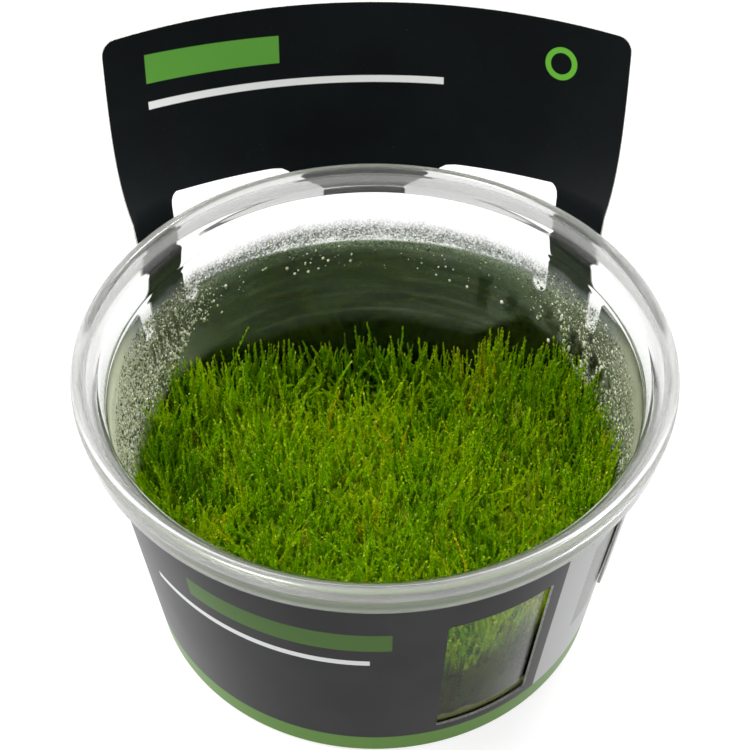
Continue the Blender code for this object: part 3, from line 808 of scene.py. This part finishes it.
def wall_drops(name, from_angle, to_angle, common, dimness, material):
    """Drops between two angles, each a low dome; common is their usual size in mm."""
    angle = drop_rng.uniform(from_angle, to_angle, DROP_TRIES)
    z = drop_rng.uniform(22, 52, DROP_TRIES) * MM
    keep = drop_rng.uniform(0, 1, DROP_TRIES)
    chosen = [i for i in range(DROP_TRIES) if keep[i] < 0.60 * drop_crowd(angle[i], z[i])][:DROP_MOST]
    angle, z = angle[chosen], z[chosen]
    ripe = 1 + 0.8 * np.clip((44 * MM - z) / (10 * MM), 0, 1)
    ripe -= 0.35 * np.clip((np.abs(angle) - 74) / 16, 0, 1)
    size = np.minimum(np.exp(drop_rng.normal(math.log(common), 0.42, len(angle))) * ripe, 0.5) * MM
    long = np.full(len(angle), 1.15)
    # Each drop's share of painted glint, from dark to white.
    painted_sparkle = drop_rng.uniform(0, 1, len(angle)) ** dimness
    for run_angle, run_z, run_size, run_long in RIPE_DROPS:
        if from_angle < run_angle < to_angle:
            angle, z = np.append(angle, run_angle), np.append(z, run_z * MM)
            size, long = np.append(size, run_size * MM), np.append(long, run_long)
            painted_sparkle = np.append(painted_sparkle, 0.9)
    turn = np.radians(angle)
    outward = np.stack([np.sin(turn), np.cos(turn), np.zeros(len(turn))], 1)
    around_wall = np.stack([np.cos(turn), -np.sin(turn), np.zeros(len(turn))], 1)
    rise = np.array([0.0, 0.0, 1.0])
    seat = outward * (wall_inner(0.0) + WALL_SLOPE * z - 0.10 * MM)[:, None]
    seat[:, 2] = z
    rings = []
    cosines, sines = np.cos(turns)[None, :, None], np.sin(turns)[None, :, None]
    spoke = around_wall[:, None] * cosines + rise * long[:, None, None] * sines
    for reach, lift in ((1.0, 0.0), (0.76, 0.42)):
        rings.append(seat[:, None] + size[:, None, None] * (reach * spoke - lift * outward[:, None]))
    crown = (seat - outward * size[:, None] * 0.62)[:, None]
    points = np.concatenate(rings + [crown], 1)
    corners = (np.arange(len(turn))[:, None] * (2 * DROP_SIDES + 1) + one_drop[None]).ravel()
    uv = np.stack([(np.arctan2(points[..., 0], points[..., 1]) / (2 * math.pi) + 0.5).ravel(),
                   (points[..., 2] / (60 * MM)).ravel()], 1)
    mesh = mesh_of(name, points.reshape(-1, 3), corners,
                   np.tile([4] * DROP_SIDES + [3] * DROP_SIDES + [DROP_SIDES], len(turn)),
                   (("painted_sparkle", np.repeat(painted_sparkle, 2 * DROP_SIDES + 1)),), uv)
    piece(name, mesh, material, "clear_plastic")


# The drops' colour runs from dark green-grey to white by each drop's painted sparkle: painted glints on the
# bright ones and painted dark refraction on the dim ones.
water = Finish("water")
painted_sparkle_layer = water.layer("painted_sparkle")
water_material = water.surface(water.principled(
    Base_Color=painted_sparkle_layer.ramp((0.0, (0.12, 0.16, 0.08)), (0.4, (0.26, 0.31, 0.17)), (0.65, (0.80, 0.84, 0.55)),
                          (1.0, (1.0, 1.0, 0.88))),
    Transmission_Weight=0.25, IOR=1.33, Roughness=0.04 + 0.08 * water.noise(3 * MM, 2)))
wall_drops("condensation_left", -130, 0, 0.125, 0.75, water_material)
wall_drops("condensation_right", 0, 130, 0.108, 2.0, water_material)

# Sleeve, legs and header are one die-cut card, printed near black with green
# and pale areas. It slips over the cup, and its ends lap at the right side.
CARD_THICKNESS = 0.45 * MM
CLEARANCE = 0.3 * MM
SLEEVE_BOTTOM = 0.7 * MM
SLEEVE_TOP = 48.2 * MM
FOLD_HEIGHT = 41.4 * MM
FOLD_RADIUS = wall_outer(FOLD_HEIGHT) + CLEARANCE + CARD_THICKNESS / 2
NOTCH_BOTTOM = 41.1 * MM
NOTCH_RADIUS = 1.75 * MM
HEADER_TOP = 87.35 * MM
HEADER_ARCH = 1.9 * MM
HEADER_CORNER = 2.6 * MM
HEADER_LEFT, HEADER_RIGHT = -48.9 * MM, 46.7 * MM
HEADER_LEAN = math.radians(13.0)
CUTOUT_LEFT, CUTOUT_RIGHT = -40.0 * MM, 36.2 * MM
CUTOUT_TOP = 57.3 * MM
CUTOUT_TOP_RISE = 1.8 * MM
CUTOUT_CORNER = 1.8 * MM
CUTOUT_SILL = 42.5 * MM
CUTOUT_SILL_RISE = 1.4 * MM
TONGUE_CENTRE = -1.7 * MM
TONGUE_HALF_TOP, TONGUE_HALF_TIP = 13.6 * MM, 8.2 * MM
TONGUE_TIP = 51.7 * MM
TONGUE_FILLET = 2.2 * MM
WINDOW_FROM, WINDOW_TO = 14.2, 38.3
WINDOW_BOTTOM, WINDOW_TOP = 7.2 * MM, 40.7 * MM
WINDOW_CORNER = 0.7 * MM
INNER_END, OUTER_END, TAB_END = 90.0, 80.0, 62.0
TAB_BOTTOM, TAB_TOP = 20.0 * MM, 46.0 * MM
TAB_CORNER = 1.5 * MM


def flare(z):
    """Distance of the header's middle line from the cup axis at height z."""
    skirt_y = RIM_RADIUS - 0.1 * MM
    rim_top = CUP_HEIGHT - 1.5 * MM
    rim_y = RIM_RADIUS + 0.75 * MM
    if z < skirt_z:
        return FOLD_RADIUS + (skirt_y - FOLD_RADIUS) * (z - FOLD_HEIGHT) / (skirt_z - FOLD_HEIGHT)
    if z < rim_top:
        return skirt_y + (rim_y - skirt_y) * (z - skirt_z) / (rim_top - skirt_z)
    return rim_y + (z - rim_top) * math.tan(HEADER_LEAN)


def bend(z):
    """Curvature of the card in plan: round at the fold, flatter towards the top."""
    flat, extra, reach = 0.38 / RIM_RADIUS, 0.50 / RIM_RADIUS, 0.2 * RIM_RADIUS
    if z >= CUP_HEIGHT:
        return flat + extra * math.exp((CUP_HEIGHT - z) / reach)
    part = (z - FOLD_HEIGHT) / (CUP_HEIGHT - FOLD_HEIGHT)
    return (1 - part) / FOLD_RADIUS + part * (flat + extra)


def raised(u, z):
    """How far a point of the card belongs to the legs and header, 0 on the sleeve."""
    if z <= FOLD_HEIGHT:
        return 0.0
    if z > SLEEVE_TOP + MM:
        return 1.0
    beside_left = max(HEADER_LEFT - u, u - CUTOUT_LEFT, 0.0)
    beside_right = max(CUTOUT_RIGHT - u, u - HEADER_RIGHT, 0.0)
    return 1.0 - smooth(0.0, 1.4 * MM, min(beside_left, beside_right))


def wrap_card(u, z):
    """Place a point of the flat card, u along the fold line and z up, in space."""
    angle = u / FOLD_RADIUS
    layer = (CARD_THICKNESS + CLEARANCE) * smooth(math.radians(66), math.radians(86), angle)
    r = wall_outer(z) + CLEARANCE + CARD_THICKNESS / 2 + layer
    on_cup = Vector((r * math.sin(angle), r * math.cos(angle), z))
    share = raised(u, z)
    if share == 0.0:
        return on_cup
    k = bend(z)
    in_header = Vector((math.sin(u * k) / k, flare(z) - (1 - math.cos(u * k)) / k, z))
    return on_cup.lerp(in_header, share)


def card_u(front_degrees, outer_end=False):
    """Place along the card of an angle to the right of the cup's front."""
    degrees = 180 - front_degrees if outer_end else -180 - front_degrees
    return math.radians(degrees) * FOLD_RADIUS


def rounded(points, reach, steps=5):
    """Round every corner of a closed outline by a quadratic curve."""
    result = []
    for i, corner in enumerate(points):
        here = Vector(corner)
        before = Vector(points[i - 1]) - here
        after = Vector(points[(i + 1) % len(points)]) - here
        start = here + before.normalized() * min(reach, before.length / 2)
        end = here + after.normalized() * min(reach, after.length / 2)
        result += [tuple(start * (1 - q) ** 2 + here * 2 * q * (1 - q) + end * q * q)
                   for q in (k / steps for k in range(steps + 1))]
    return result


def header_edge(steps=40):
    """The header's arched top, right to left, between its round corners."""
    half = (HEADER_RIGHT - HEADER_LEFT) / 2
    middle = (HEADER_RIGHT + HEADER_LEFT) / 2
    points = []
    for i in range(steps + 1):
        u = HEADER_RIGHT - HEADER_CORNER - (2 * half - 2 * HEADER_CORNER) * i / steps
        points.append((u, HEADER_TOP - HEADER_ARCH * ((u - middle) / half) ** 2))
    low = points[0][1] - HEADER_CORNER
    right = arc((HEADER_RIGHT - HEADER_CORNER, low), HEADER_CORNER, 0, 85, 6)
    left = arc((HEADER_LEFT + HEADER_CORNER, low), HEADER_CORNER, 95, 180, 6)
    return right + points[1:-1] + left


def notch(centre, top):
    """A relief notch beside a leg, right to left, straight sides and a round bottom."""
    r = NOTCH_RADIUS
    return [(centre + r, top)] + arc((centre, NOTCH_BOTTOM + r), r, 0, -180, 12) + [(centre - r, top)]


inner_end, outer_end, tab_end = card_u(INNER_END), card_u(OUTER_END, True), card_u(TAB_END, True)
outline = [(inner_end, SLEEVE_BOTTOM), (outer_end, SLEEVE_BOTTOM), (outer_end, TAB_BOTTOM)]
outline += arc((tab_end - TAB_CORNER, TAB_BOTTOM + TAB_CORNER), TAB_CORNER, -90, 0, 6)
outline += arc((tab_end - TAB_CORNER, TAB_TOP - TAB_CORNER), TAB_CORNER, 0, 90, 6)
outline += [(outer_end, SLEEVE_TOP)] + notch(HEADER_RIGHT + NOTCH_RADIUS, SLEEVE_TOP)[:-1]
outline += header_edge() + notch(HEADER_LEFT - NOTCH_RADIUS, SLEEVE_TOP)[1:] + [(inner_end, SLEEVE_TOP)]

cut_half = (CUTOUT_RIGHT - CUTOUT_LEFT) / 2
cut_middle = (CUTOUT_RIGHT + CUTOUT_LEFT) / 2


def cutout_top(u):
    """The opening's upper edge, lowest in the middle."""
    return CUTOUT_TOP + CUTOUT_TOP_RISE * ((u - cut_middle) / cut_half) ** 2


fillet = TONGUE_FILLET
side_top = CUTOUT_TOP + CUTOUT_TOP_RISE * 0.94
tongue_left = TONGUE_CENTRE - TONGUE_HALF_TOP - fillet * 1.7
tongue_right = TONGUE_CENTRE + TONGUE_HALF_TOP + fillet * 1.7
slope = [(u, cutout_top(u)) for u in np.linspace(CUTOUT_LEFT + 3 * MM, tongue_left, 8)]
slope += [(TONGUE_CENTRE - TONGUE_HALF_TOP - fillet * 0.9, CUTOUT_TOP + fillet * 0.02),
          (TONGUE_CENTRE - TONGUE_HALF_TOP - fillet * 0.4, CUTOUT_TOP - fillet * 0.3),
          (TONGUE_CENTRE - TONGUE_HALF_TOP + fillet * 0.4, CUTOUT_TOP - fillet),
          (TONGUE_CENTRE - TONGUE_HALF_TIP - 0.4 * MM, TONGUE_TIP + 0.8 * MM),
          (TONGUE_CENTRE - TONGUE_HALF_TIP + 0.5 * MM, TONGUE_TIP)]
cutout = arc((CUTOUT_LEFT + CUTOUT_CORNER, side_top - CUTOUT_CORNER), CUTOUT_CORNER, 180, 97, 6) + slope
cutout += [(2 * TONGUE_CENTRE - u, z) for u, z in reversed(slope[8:])]
cutout += [(u, cutout_top(u)) for u in np.linspace(tongue_right, CUTOUT_RIGHT - 3 * MM, 8)]
cutout += arc((CUTOUT_RIGHT - CUTOUT_CORNER, side_top - CUTOUT_CORNER), CUTOUT_CORNER, 83, 0, 6)
sill_half = cut_half - 2 * NOTCH_RADIUS
cutout += notch(CUTOUT_RIGHT - NOTCH_RADIUS, CUTOUT_SILL + CUTOUT_SILL_RISE)[1:]
cutout += [(cut_middle + sill_half * q, CUTOUT_SILL + CUTOUT_SILL_RISE * q * q)
           for q in (0.75, 0.5, 0.25, 0, -0.25, -0.5, -0.75)]
cutout += notch(CUTOUT_LEFT + NOTCH_RADIUS, CUTOUT_SILL + CUTOUT_SILL_RISE)[:-1]

window = rounded([(card_u(WINDOW_FROM), WINDOW_TOP), (card_u(WINDOW_FROM), WINDOW_BOTTOM),
                  (card_u(WINDOW_TO), WINDOW_BOTTOM), (card_u(WINDOW_TO), WINDOW_TOP)], WINDOW_CORNER)


def divided(loop, longest=1.5 * MM):
    """The same closed outline with its long sides divided."""
    result = []
    for (u0, z0), (u1, z1) in zip(loop, loop[1:] + loop[:1]):
        parts = max(1, math.ceil(math.hypot(u1 - u0, z1 - z0) / longest))
        result += [(u0 + (u1 - u0) * k / parts, z0 + (z1 - z0) * k / parts) for k in range(parts)]
    return np.array(result)


def enclosed(points, loop):
    """Which points lie inside a closed outline, by the sides met on the way right."""
    u, z = points[:, :1], points[:, 1:]
    first, last = loop, np.roll(loop, -1, 0)
    meets = (first[:, 1] > z) != (last[:, 1] > z)
    fall = np.where(first[:, 1] == last[:, 1], 1.0, last[:, 1] - first[:, 1])
    at = first[:, 0] + (z - first[:, 1]) * (last[:, 0] - first[:, 0]) / fall
    return (meets & (u < at)).sum(1) % 2 == 1


def on_card(points):
    return enclosed(points, outline) & ~enclosed(points, cutout) & ~enclosed(points, window)


# The blank is laid out flat in triangles, wrapped, and given its thickness.
outline, cutout, window = divided(outline), divided(cutout), divided(window)
edge_points = np.concatenate([outline, cutout, window])
rows = np.concatenate([np.arange(2.5, 41.0, 3.2), np.arange(41.4, 87.0, 1.6)]) * MM
columns = np.arange(inner_end, tab_end, math.radians(2.0) * FOLD_RADIUS)
lattice = np.stack(np.meshgrid(columns, rows), -1).reshape(-1, 2)
lattice = lattice[on_card(lattice)]
gap = np.array([np.min(np.hypot(*(edge_points - point).T)) for point in lattice])
lattice = lattice[gap > 0.75 * MM]
borders, start = [], 0
for loop in (outline, cutout, window):
    count = len(loop)
    borders += [(start + i, start + (i + 1) % count) for i in range(count)]
    start += count
laid = [Vector(point) / MM for point in np.concatenate([edge_points, lattice])]
flat_points, _, triangles, *_ = geometry.delaunay_2d_cdt(laid, borders, [], 0, 1e-4)
flat_points = np.array(flat_points) * MM
triangles = np.array(triangles)
triangles = triangles[on_card(flat_points[triangles].mean(1))]
first, second = (flat_points[triangles[:, k]] - flat_points[triangles[:, 0]] for k in (1, 2))
turned_over = first[:, 0] * second[:, 1] - first[:, 1] * second[:, 0] > 0
triangles[turned_over] = triangles[turned_over][:, ::-1]
sides = dict.fromkeys(side for a, b, c in triangles.tolist() for side in ((a, b), (b, c), (c, a)))
rim_sides = np.array([(a, b) for a, b in sides if (b, a) not in sides])
wrapped, card_normals = [], []
for u, z in flat_points.tolist():
    along_card = wrap_card(u + 0.02 * MM, z) - wrap_card(u - 0.02 * MM, z)
    up_card = wrap_card(u, z + 0.02 * MM) - wrap_card(u, z - 0.02 * MM)
    wrapped.append(wrap_card(u, z))
    card_normals.append(up_card.cross(along_card).normalized())
wrapped, card_normals = np.array(wrapped), np.array(card_normals)
total = len(wrapped)
rim_quads = np.stack([rim_sides[:, 1], rim_sides[:, 0], rim_sides[:, 0] + total, rim_sides[:, 1] + total], 1)
half_sheet = card_normals * CARD_THICKNESS / 2
card_points = np.concatenate([wrapped + half_sheet, wrapped - half_sheet])
card_corners = np.concatenate([triangles.ravel(), (triangles[:, ::-1] + total).ravel(), rim_quads.ravel()])
card_sizes = np.array([3] * (2 * len(triangles)) + [4] * len(rim_quads))
card_layers = (("u", np.tile(flat_points[:, 0], 2)),)
card_mesh = mesh_of("printed_card", card_points, card_corners, card_sizes, card_layers)
face_materials = np.repeat([0, 1, 2], [len(triangles), len(triangles), len(rim_quads)])
card_mesh.polygons.foreach_set("material_index", face_materials.astype(np.int32))
rim_normals = unit(np.cross(card_points[rim_quads[:, 1]] - card_points[rim_quads[:, 0]],
                            card_points[rim_quads[:, 3]] - card_points[rim_quads[:, 0]]))
corner_normals = [card_normals[triangles.ravel()], -card_normals[triangles[:, ::-1].ravel()]]
card_mesh.normals_split_custom_set(np.concatenate(corner_normals + [np.repeat(rim_normals, 4, 0)]))


def card_print(name, base, roughness, gloss, marks):
    """A printed side of the card: base black with marks, fibres and slight wear."""
    side = Finish(name)
    fibre = side.noise(0.45 * MM, 3, 0.6)
    wear = side.noise(15 * MM, 4, 0.6)
    specks = side.noise(0.22 * MM, 1).step(0.76, 0.80) * side.noise(8 * MM, 2).step(0.45, 0.7)
    colour = side.mix(wear.step(0.3, 0.75), base, tuple(1.5 * c for c in base))
    colour = marks(side, colour)
    colour = side.mix(specks * 0.35, colour, (0.30, 0.30, 0.30))
    return side.surface(side.principled(
        Base_Color=colour, Roughness=roughness + 0.14 * wear, Specular_IOR_Level=gloss,
        Normal=side.bump(fibre, 0.10, 0.05 * MM)))


PRINT_GREEN = (0.130, 0.285, 0.045)
PRINT_WHITE = (0.80, 0.81, 0.80)
PRINT_PALE = (0.46, 0.47, 0.46)


def box_mask(u, z, left, right, low, high, soft=0.08 * MM):
    return u.within(left, right, soft) * z.within(low, high, soft)


def header_marks(side, colour):
    u, z = side.layer("u"), side.axis("Z")
    block = box_mask(u, z, -41.4 * MM, -17.0 * MM, 77.0 * MM, 82.0 * MM)
    colour = side.mix(block, colour, (0.105, 0.32, 0.045))
    rule = box_mask(u, z, -41.4 * MM, 13.0 * MM, 72.6 * MM, 73.9 * MM)
    colour = side.mix(rule, colour, PRINT_WHITE)
    reach = ((u - 34.3 * MM) ** 2 + (z - 79.0 * MM) ** 2) ** 0.5
    ring = reach.within(1.9 * MM, 2.9 * MM, 0.08 * MM)
    return side.mix(ring, colour, (0.13, 0.42, 0.04))


def sleeve_marks(side, colour):
    x, y, z = side.axis("X"), side.axis("Y"), side.axis("Z")
    angle = x.maths("ARCTAN2", x, -1 * y) * (180 / math.pi)
    band = z.step(5.3 * MM, 5.1 * MM)
    panel = angle.step(41.6, 41.9) * angle.step(100.0, 99.5) * z.within(5.3 * MM, 49 * MM, 0.1 * MM)
    colour = side.mix(panel, colour, PRINT_PALE)
    stripes = ((z * (1 / (1.3 * MM))).maths("FRACT", z * (1 / (1.3 * MM)))).step(0.55, 0.65)
    hatch = stripes * angle.within(52.0, 61.0, 0.2) * z.within(16 * MM, 40 * MM, 0.1 * MM)
    colour = side.mix(hatch, colour, (0.10, 0.10, 0.10))
    green_bar = angle.within(-42.0, 3.0, 0.12) * z.within(35.6 * MM, 40.6 * MM, 0.08 * MM)
    colour = side.mix(green_bar, colour, (0.075, 0.17, 0.030))
    white_bar = angle.within(-54.0, -1.5, 0.12) * z.within(31.0 * MM, 32.4 * MM, 0.08 * MM)
    colour = side.mix(white_bar, colour, PRINT_WHITE)
    return side.mix(band, colour, PRINT_GREEN)


raw = Finish("cut_card_edge")
raw_fibre = raw.noise(0.25 * MM, 3, 0.7)
piece("printed_card", card_mesh, card_print(
    "card_outside", (0.0285, 0.0295, 0.0290), 0.32, 0.5, sleeve_marks), "printed_card", "card_sleeve")
card_mesh.materials.append(card_print("card_inside", (0.0036, 0.0050, 0.0055), 0.50, 0.10, header_marks))
card_mesh.materials.append(raw.surface(raw.principled(
    Base_Color=raw.mix(raw_fibre.step(0.35, 0.7), (0.30, 0.30, 0.28), (0.62, 0.61, 0.57)), Roughness=0.85,
    Normal=raw.bump(raw_fibre, 0.4, 0.05 * MM))))
